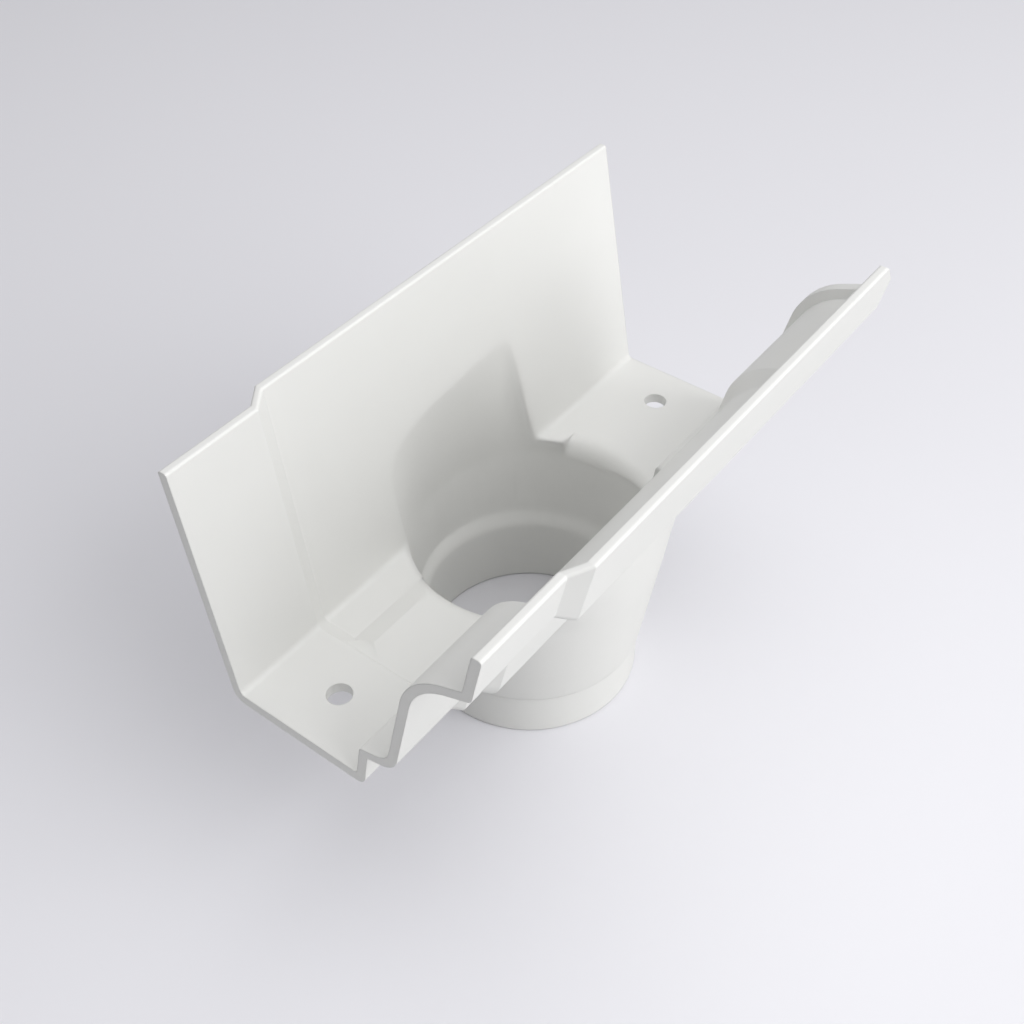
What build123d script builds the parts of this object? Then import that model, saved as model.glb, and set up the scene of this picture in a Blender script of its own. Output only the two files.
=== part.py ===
import os
from math import hypot

from build123d import *

# Gutter outlet, one casting: a length of moulded ogee gutter with a funnel and a round pipe under it.
# X runs along the gutter from the spigot to the plain end, -Y is the moulded front, +Z is up.
# The origin lies on the axis of the outlet pipe, at the pipe's lower end. Sizes in mm.

# Walls and joint
wall = 3.6
sole_wall = 4.4
joint_clearance = 0.9  # all round, between a spigot and the body section it slips into
top_rise = 1.5  # the body stands this much higher than the spigot

# Inside of the spigot, walked from the back wall over the sole to the front lip
sole_height = 77.5  # above the pipe's lower end
sole_back = 28.4  # back edge of the sole, behind the pipe axis
sole_width = 54.4
back_lean = 13.0  # the back wall leans out this far over the full depth
riser_rise = 15.9
riser_lean = 2.7
ledge_width = 12.1
ledge_rise = 3.1
face_rise = 51.7
face_lean = 11.5
hump_width = 21.2
hump_rise = 8.5
lip_rise = 17.8
lip_lean = 3.7
inside_radii = [2.5, 1.5, 1.5, 8.5, 28.0, 1.5]
outside_radii = [5.5, 4.5, 1.0, 10.0, 24.0, 3.0]

# Round the funnel the moulding swells, and past it the walls are drawn in again
swell = 1.8
end_sole_drop = 1.2  # the plain end's sole, below the spigot's
end_foot_in = 0.5  # the foot of its back wall, in front of the spigot's
end_moulding_out = 2.5

# Along the gutter, from the pipe axis
spigot_end = 132.0
spigot_length = 39.5
joggle_length = 7.0
sole_step_start = -30.0
sole_step_end = 33.0
moulding_step = 46.0
plain_end = 112.5
bolt_bore = 9.5
bolt_from_spigot_end = 21.0
bolt_from_plain_end = 19.5
bolt_behind_axis = 1.0

# Outlet pipe
pipe_radius = 46.0
pipe_bore_radius = 43.0
pipe_length = 22.0
pipe_step = 1.2  # the funnel's outside starts this much wider than the pipe and its own inside foot
seat_bottom = 31.5
seat_top = 37.5  # a short cone joins the bore to the funnel
funnel_foot_radius = 46.0

# Funnel mouth, a rounded oblong cut into the back wall and the moulding
mouth_above_sole = 54.0
mouth_half_length = 44.0
mouth_shift = 4.5  # towards the spigot
mouth_back = 37.5
mouth_front = 54.5
mouth_corner = 8.0
waist_height = 70.0  # just under the sole the funnel is still nearly round
waist_half_length = 49.5
waist_back = 45.5
waist_front = 49.0
waist_corner = 44.5
apron_roll = 8.5  # the sole rolls down into the funnel with these radii
plain_roll = 8.5
roll_back = 17.0  # the roll stops short of the back wall

# Raised apron that carries the spigot's sole up to the funnel
apron_drop = 0.6  # below the spigot's sole
apron_ramp_back = 18.5  # foot of its sloping edge, behind the pipe axis
apron_ramp_front = 7.5

# Bead over the hump at the plain end, and the clipped corner of the lip there
bead_width = 6.0
bead_slope = 1.5
bead_height = 3.4
lip_clip = 12.0

# Edges
edge_round = 1.0
pipe_bevel = 0.5


def skeleton():
    steps = [
        (-back_lean, -(riser_rise + ledge_rise + face_rise + hump_rise + lip_rise)),
        (-sole_width, 0.0),
        (-riser_lean, riser_rise),
        (-ledge_width, ledge_rise),
        (-face_lean, face_rise),
        (-hump_width, hump_rise),
        (-lip_lean, lip_rise),
    ]
    points = [(sole_back + back_lean, sole_height - steps[0][1])]
    for across, up in steps:
        points.append((points[-1][0] + across, points[-1][1] + up))
    return points


def crossing(start, way, other_start, other_way):
    turn = way[0] * other_way[1] - way[1] * other_way[0]
    apart = (other_start[0] - start[0], other_start[1] - start[1])
    reach = (apart[0] * other_way[1] - apart[1] * other_way[0]) / turn
    return (start[0] + reach * way[0], start[1] + reach * way[1])


def grown(section, skin, sole_skin, top):
    # The spigot's inside walls moved outward and cut off level at the given height.
    back_top, back_foot, sole, ledge, face, hump, lip = section
    moves = [
        (back_top + skin, back_foot + skin),
        (sole + sole_skin, sole + sole_skin),
        (ledge + skin, ledge + skin),
        (ledge + skin, ledge + skin),
        (face + skin, face + skin),
        (hump + skin, hump + skin),
        (lip + skin, lip + skin),
    ]
    points = skeleton()
    level = ((0.0, top), (1.0, 0.0))
    lines = [level]
    for index, (first, last) in enumerate(moves):
        begin, end = points[index], points[index + 1]
        way = (end[0] - begin[0], end[1] - begin[1])
        size = hypot(*way)
        out = (-way[1] / size, way[0] / size)
        begin = (begin[0] + out[0] * first, begin[1] + out[1] * first)
        end = (end[0] + out[0] * last, end[1] + out[1] * last)
        if index == 0:
            begin = crossing(begin, way, (0.0, body_top), (1.0, 0.0))
        lines.append((begin, (end[0] - begin[0], end[1] - begin[1])))
    lines.append(level)
    return [crossing(*lines[i], *lines[i + 1]) for i in range(len(lines) - 1)]


def outline(points, radii):
    with BuildLine() as path:
        FilletPolyline(*points, radius=radii)
        Line(points[-1], points[0])
    return path


depth = riser_rise + ledge_rise + face_rise + hump_rise + lip_rise
spigot_top = sole_height + depth
body_top = spigot_top + top_rise
past_end = 20.0  # hollows are cut this far past the ends and the top
open_top = body_top + past_end
joint = wall + joint_clearance
sole_joint = sole_wall + joint_clearance
spigot_start = -spigot_end
joggle_start = spigot_start + spigot_length
body_start = joggle_start + joggle_length
bead_start = plain_end - bead_width

# Each section: back wall's top and foot, sole, riser and ledge, face, hump, lip
swollen = joint + swell
raised = end_moulding_out - bead_height
spigot = (0.0, 0.0, 0.0, 0.0, 0.0, 0.0, 0.0)
body = (joint, joint, sole_joint, swollen, swollen, swollen, joint)
shelf = (joint, -end_foot_in, end_sole_drop, end_moulding_out, swollen, swollen, joint)
plain = (joint, -end_foot_in, end_sole_drop, end_moulding_out, end_moulding_out, end_moulding_out, joint)
beaded = (joint, -end_foot_in, end_sole_drop, end_moulding_out, raised, raised, joint)
middle_stations = [
    (joggle_start, spigot),
    (body_start, body),
    (sole_step_start, body),
    (sole_step_end, shelf),
]
outside_stations = [(spigot_start, spigot), *middle_stations, (plain_end, shelf)]
inside_stations = [
    (spigot_start - past_end, spigot),
    *middle_stations,
    (moulding_step, shelf),
    (moulding_step + joggle_length, plain),
    (bead_start, plain),
    (bead_start + bead_slope, beaded),
    (plain_end + past_end, beaded),
]

mouth_height = sole_height + mouth_above_sole
body_sole = sole_height - sole_joint
plain_sole = sole_height - end_sole_drop
apron_top = sole_height - apron_drop
apron_front = grown(body, 0.0, 0.0, open_top)[2][0] - wall / 2
lip_foot = skeleton()[6][0]
plain_front = grown(plain, 0.0, 0.0, open_top)[2][0]
spigot_front = grown(spigot, 0.0, 0.0, open_top)[2][0] - wall / 2
foot_radius = max(pipe_radius, funnel_foot_radius) + pipe_step


def inside(section):
    return outline(grown(section, 0.0, 0.0, open_top), inside_radii)


def outside(section):
    top = spigot_top if section == spigot else body_top
    return outline(grown(section, wall, sole_wall, top), outside_radii)


def round_foot(radius, height):
    with BuildLine(Plane.XY.offset(height)) as path:
        for eighth in range(8):
            CenterArc((0, 0), radius, -22.5 + 45 * eighth, 45)
    return Face(path.wire())


def oblong(half_length, shift, front, back, corner, height, grow):
    right, left = half_length + grow - shift, -half_length - grow - shift
    front, back = -front - grow, back + grow
    corner = corner + grow
    with BuildLine(Plane.XY.offset(height)) as path:
        Line((right, front + corner), (right, back - corner))
        CenterArc((right - corner, back - corner), corner, 0, 90)
        Line((right - corner, back), (left + corner, back))
        CenterArc((left + corner, back - corner), corner, 90, 90)
        Line((left, back - corner), (left, front + corner))
        CenterArc((left + corner, front + corner), corner, 180, 90)
        Line((left + corner, front), (right - corner, front))
        CenterArc((right - corner, front + corner), corner, 270, 90)
    return Face(path.wire())


def waist(grow):
    return oblong(waist_half_length, 0.0, waist_front, waist_back, waist_corner, waist_height, grow)


def mouth(grow):
    return oblong(mouth_half_length, mouth_shift, mouth_front, mouth_back, mouth_corner, mouth_height, grow)


def apron(along, foot, front):
    with BuildLine(Plane.YZ.offset(along)) as path:
        Polyline(
            (apron_ramp_back, foot - sole_wall / 2),
            (apron_ramp_back, foot - apron_drop),
            (apron_ramp_front, apron_top),
            (front, apron_top),
            (front, foot - sole_wall / 2),
            close=True,
        )
    return Face(path.wire())


# The open trough, section by section
with BuildPart() as trough:
    for (begin, section), (finish, following) in zip(inside_stations, inside_stations[1:]):
        with BuildSketch(Plane.YZ.offset(begin)):
            add(inside(section))
            make_face()
        if section == following:
            extrude(amount=finish - begin)
        else:
            with BuildSketch(Plane.YZ.offset(finish)):
                add(inside(following))
                make_face()
            loft(ruled=True)

# The funnel's inside, round at the foot and oblong at the mouth
with BuildPart() as throat:
    loft(sections=[round_foot(funnel_foot_radius, seat_top), waist(0), mouth(0)], ruled=True)


# The rolled rim of the sole on one side of the funnel
def rolled_rim(side, top, roll, front):
    with BuildPart() as rim:
        with BuildSketch(Plane.XZ):
            with BuildLine():
                start = (waist_half_length + roll, top)
                finish = (waist_half_length, top - roll)
                Line((0, top), start)
                RadiusArc(start, finish, -roll)
                Line(finish, (0, top - roll))
                Line((0, top - roll), (0, top))
            make_face()
        revolve(axis=Axis.Z)
        with Locations((side * spigot_end, (roll_back + front) / 2, top)):
            Box(2 * spigot_end, roll_back - front, 4 * roll, mode=Mode.INTERSECT)
    return rim.part


apron_rim = rolled_rim(-1, apron_top, apron_roll, apron_front)
plain_rim = rolled_rim(1, plain_sole, plain_roll, plain_front)

with BuildPart() as outlet:
    # Outsides, filled
    for (begin, section), (finish, following) in zip(outside_stations, outside_stations[1:]):
        with BuildSketch(Plane.YZ.offset(begin)):
            add(outside(section))
            make_face()
        if section == following:
            extrude(amount=finish - begin)
        else:
            with BuildSketch(Plane.YZ.offset(finish)):
                add(outside(following))
                make_face()
            loft(ruled=True)
    loft(sections=[round_foot(foot_radius, pipe_length), waist(wall), mouth(wall)], ruled=True)
    with BuildSketch(Plane.XY):
        Circle(pipe_radius)
    extrude(amount=pipe_length)
    # Hollows
    add(trough.part, mode=Mode.SUBTRACT)
    apron_start = apron(joggle_start, sole_height, spigot_front)
    apron_end = apron(body_start, body_sole, apron_front)
    loft(sections=[apron_start, apron_end], ruled=True)
    extrude(apron_end, amount=-body_start)
    add(throat.part, mode=Mode.SUBTRACT)
    add([apron_rim, plain_rim], mode=Mode.SUBTRACT)
    with BuildSketch(Plane.XY):
        Circle(pipe_bore_radius)
    extrude(amount=seat_bottom, mode=Mode.SUBTRACT)
    with BuildSketch(Plane.XY.offset(seat_bottom)):
        Circle(pipe_bore_radius)
    with BuildSketch(Plane.XY.offset(seat_top)):
        Circle(funnel_foot_radius)
    loft(mode=Mode.SUBTRACT)
    with Locations(
        (spigot_start + bolt_from_spigot_end, bolt_behind_axis, sole_height),
        (plain_end - bolt_from_plain_end, bolt_behind_axis, plain_sole),
    ):
        Cylinder(bolt_bore / 2, 4 * sole_wall, mode=Mode.SUBTRACT)

    # Rounded edges
    chamfer(outlet.edges().filter_by(GeomType.CIRCLE).group_by(Axis.Z)[0], pipe_bevel)
    tops = outlet.edges().filter_by(lambda edge: edge.bounding_box().min.Z > spigot_top - 0.1)
    rails = tops.filter_by(lambda edge: edge.bounding_box().size.X > joggle_length / 2)
    fillet(rails, edge_round)
    with BuildSketch(Plane.XZ.offset(-lip_foot)):
        with BuildLine():
            Polyline(
                (plain_end - lip_clip, body_top),
                (plain_end, body_top - lip_clip),
                (plain_end + past_end, body_top - lip_clip),
                (plain_end + past_end, open_top),
                (plain_end - lip_clip, open_top),
                close=True,
            )
        make_face()
    extrude(amount=spigot_end, mode=Mode.SUBTRACT)

outlet.part.label = "gutter_outlet"
os.makedirs("parts", exist_ok=True)
export_step(outlet.part, "parts/gutter_outlet.step")
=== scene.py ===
import bpy
from mathutils import Matrix, Vector

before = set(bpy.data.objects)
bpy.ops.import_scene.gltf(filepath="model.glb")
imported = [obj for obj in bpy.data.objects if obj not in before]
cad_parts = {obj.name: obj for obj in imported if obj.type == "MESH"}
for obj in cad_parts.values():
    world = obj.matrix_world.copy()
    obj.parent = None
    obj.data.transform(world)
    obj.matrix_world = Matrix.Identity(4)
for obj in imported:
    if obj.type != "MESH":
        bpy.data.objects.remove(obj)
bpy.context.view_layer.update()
scene = bpy.context.scene
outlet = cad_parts["gutter_outlet"]
print("part loaded")


class Val:
    # one value in a shader tree, so that its maths reads as plain maths
    def __init__(self, tree, socket):
        self.tree = tree
        self.socket = socket

    def math(self, kind, first, second):
        node = self.tree.nodes.new("ShaderNodeMath")
        node.operation = kind
        for place, value in enumerate((first, second)):
            if isinstance(value, Val):
                value.feed(node.inputs[place])
            else:
                node.inputs[place].default_value = value
        return Val(self.tree, node.outputs[0])

    def __add__(self, other):
        return self.math("ADD", self, other)

    def __radd__(self, other):
        return self.math("ADD", other, self)

    def __sub__(self, other):
        return self.math("SUBTRACT", self, other)

    def __rsub__(self, other):
        return self.math("SUBTRACT", other, self)

    def __mul__(self, other):
        return self.math("MULTIPLY", self, other)

    def __rmul__(self, other):
        return self.math("MULTIPLY", other, self)

    def __abs__(self):
        return self.math("ABSOLUTE", self, 0.0)

    def make(self, kind, settings=None, sockets=None, out=0):
        node = self.tree.nodes.new(kind)
        for name, value in (settings or {}).items():
            setattr(node, name, value)
        for name, value in (sockets or {}).items():
            if isinstance(value, Val):
                value.feed(node.inputs[name])
            else:
                node.inputs[name].default_value = value
        return Val(self.tree, node.outputs[out])

    def feed(self, socket):
        self.tree.links.new(self.socket, socket)


def material(name):
    made = bpy.data.materials.new(name)
    made.use_nodes = True
    shader = made.node_tree.nodes["Principled BSDF"]
    return made, Val(made.node_tree, None), shader


def fade(value, ends):  # 0 before the first end, 1 past the second
    sockets = {"Value": value, "From Min": ends[0], "From Max": ends[1]}
    return value.make("ShaderNodeMapRange", {"interpolation_type": "SMOOTHSTEP"}, sockets)


# powder coat
coat = {
    "pale": (0.83, 0.83, 0.81, 1.0),
    "dull": (0.80, 0.80, 0.78, 1.0),
    "cloudScale": 18.0,
    "cloudDetail": 3.0,
    "roughness": 0.42,
    "roughSpread": 0.12,
    "peelScale": 900.0,
    "peelDetail": 2.0,
    "peelDepth": 0.00004,
    "peelStrength": 0.35,
    "edgeRadius": 0.0007,
    "funnelRadius": 0.006,
    "funnelMiddle": -0.0045,  # along the gutter
    "funnelAlong": (0.052, 0.062),  # to each side of its middle
    "funnelTop": (0.140, 0.150),
    "funnelFoot": (0.024, 0.030),
}
coatMaterial, tree, shader = material("powderCoat")
place = tree.make("ShaderNodeTexCoord", out=3)  # object coordinates
clouds = {"Vector": place, "Scale": coat["cloudScale"], "Detail": coat["cloudDetail"]}
cloud = tree.make("ShaderNodeTexNoise", sockets=clouds)
grains = {"Vector": place, "Scale": coat["peelScale"], "Detail": coat["peelDetail"]}
grain = tree.make("ShaderNodeTexNoise", sockets=grains)
tint = tree.make("ShaderNodeMix", {"data_type": "RGBA"}, {"Factor": cloud}, out=2)
tint.socket.node.inputs[6].default_value = coat["dull"]
tint.socket.node.inputs[7].default_value = coat["pale"]
tint.feed(shader.inputs["Base Color"])
rough = (cloud - 0.5) * coat["roughSpread"] + coat["roughness"]
rough.feed(shader.inputs["Roughness"])

# edges are nearly sharp, but the funnel's creases are cast round
along = tree.make("ShaderNodeSeparateXYZ", sockets={"Vector": place})
height = Val(tree.tree, along.socket.node.outputs[2])
beside = abs(along - coat["funnelMiddle"])
inFunnel = (1.0 - fade(beside, coat["funnelAlong"])) * (1.0 - fade(height, coat["funnelTop"]))
inFunnel = inFunnel * fade(height, coat["funnelFoot"])
crisp = tree.make("ShaderNodeBevel", {"samples": 6}, {"Radius": coat["edgeRadius"]})
rounded = tree.make("ShaderNodeBevel", {"samples": 8}, {"Radius": coat["funnelRadius"]})
soft = tree.make("ShaderNodeMix", {"data_type": "VECTOR"}, {"Factor": inFunnel}, out=1)
crisp.feed(soft.socket.node.inputs[4])
rounded.feed(soft.socket.node.inputs[5])
facing = tree.make("ShaderNodeVectorMath", {"operation": "NORMALIZE"}, {"Vector": soft})
bumps = {
    "Strength": coat["peelStrength"],
    "Distance": coat["peelDepth"],
    "Height": grain,
    "Normal": facing,
}
peel = tree.make("ShaderNodeBump", sockets=bumps)
peel.feed(shader.inputs["Normal"])
outlet.data.materials.clear()
outlet.data.materials.append(coatMaterial)
print("coat done")

# floor, paler to the camera than to the light that it throws back
stage = {
    "seen": (0.82, 0.816, 0.854, 1.0),
    "bounced": (0.66, 0.66, 0.67, 1.0),
    "roughness": 0.5,
    "size": 6.0,
    "height": -0.0002,
}
bpy.ops.mesh.primitive_plane_add(size=stage["size"], location=(0, 0, stage["height"]))
floor = bpy.context.object
floor.name = "floor"
floorMaterial, floorTree, floorShader = material("floorPaper")
floorShader.inputs["Base Color"].default_value = stage["seen"]
floorShader.inputs["Roughness"].default_value = stage["roughness"]
dim = floorTree.make("ShaderNodeBsdfDiffuse", sockets={"Color": stage["bounced"]})
cameraRay = floorTree.make("ShaderNodeLightPath")
paper = floorTree.make("ShaderNodeMixShader", sockets={"Fac": cameraRay})
dim.feed(paper.socket.node.inputs[1])
floorTree.tree.links.new(floorShader.outputs[0], paper.socket.node.inputs[2])
paper.feed(floorTree.tree.nodes["Material Output"].inputs["Surface"])
floor.data.materials.append(floorMaterial)
print("floor done")

# light
studio = {"aim": (0, 0, 0.08), "sky": (0.95, 0.95, 0.97, 1.0), "skyStrength": 0.37}
lamps = [
    {"name": "top", "at": (0.3, -0.2, 1.7), "size": 2.4, "watts": 13.5},
    {"name": "key", "at": (0.9, -1.3, 1.7), "size": 2.0, "watts": 6.5},
    {"name": "front", "at": (0.0, -1.6, 1.2), "size": 1.6, "watts": 17.5},
    {"name": "card", "at": (0.45, -1.15, 0.22), "size": 0.5, "watts": 2.0},
]
for lamp in lamps:
    data = bpy.data.lights.new(lamp["name"], "AREA")
    data.energy = lamp["watts"]
    data.shape = "DISK"
    data.size = lamp["size"]
    lampObject = bpy.data.objects.new(lamp["name"], data)
    scene.collection.objects.link(lampObject)
    lampObject.location = lamp["at"]
    lampObject.visible_camera = False
    aim = Vector(studio["aim"]) - lampObject.location
    lampObject.rotation_euler = aim.to_track_quat("-Z", "Y").to_euler()
world = bpy.data.worlds.new("studio")
scene.world = world
world.use_nodes = True
sky = world.node_tree.nodes["Background"]
sky.inputs["Color"].default_value = studio["sky"]
sky.inputs["Strength"].default_value = studio["skyStrength"]
print("light done")

# camera
view = {
    "at": (-0.3075, -0.2244, 0.4500),
    "right": (0.6039, -0.7970, -0.0015),
    "down": (-0.5553, -0.4195, -0.7181),
    "forward": (0.5718, 0.4345, -0.6959),
    "lens": 47.11,
    "sensor": 36.0,
    "nearest": 0.01,
}
cameraData = bpy.data.cameras.new("camera")
cameraData.sensor_width = view["sensor"]
cameraData.lens = view["lens"]
cameraData.clip_start = view["nearest"]
camera = bpy.data.objects.new("camera", cameraData)
scene.collection.objects.link(camera)
right, up, back = Vector(view["right"]), -Vector(view["down"]), -Vector(view["forward"])
turn = Matrix((right, up, back)).transposed().to_4x4()
camera.matrix_world = Matrix.Translation(view["at"]) @ turn
scene.camera = camera
scene.view_settings.view_transform = "Standard"
print("camera done")
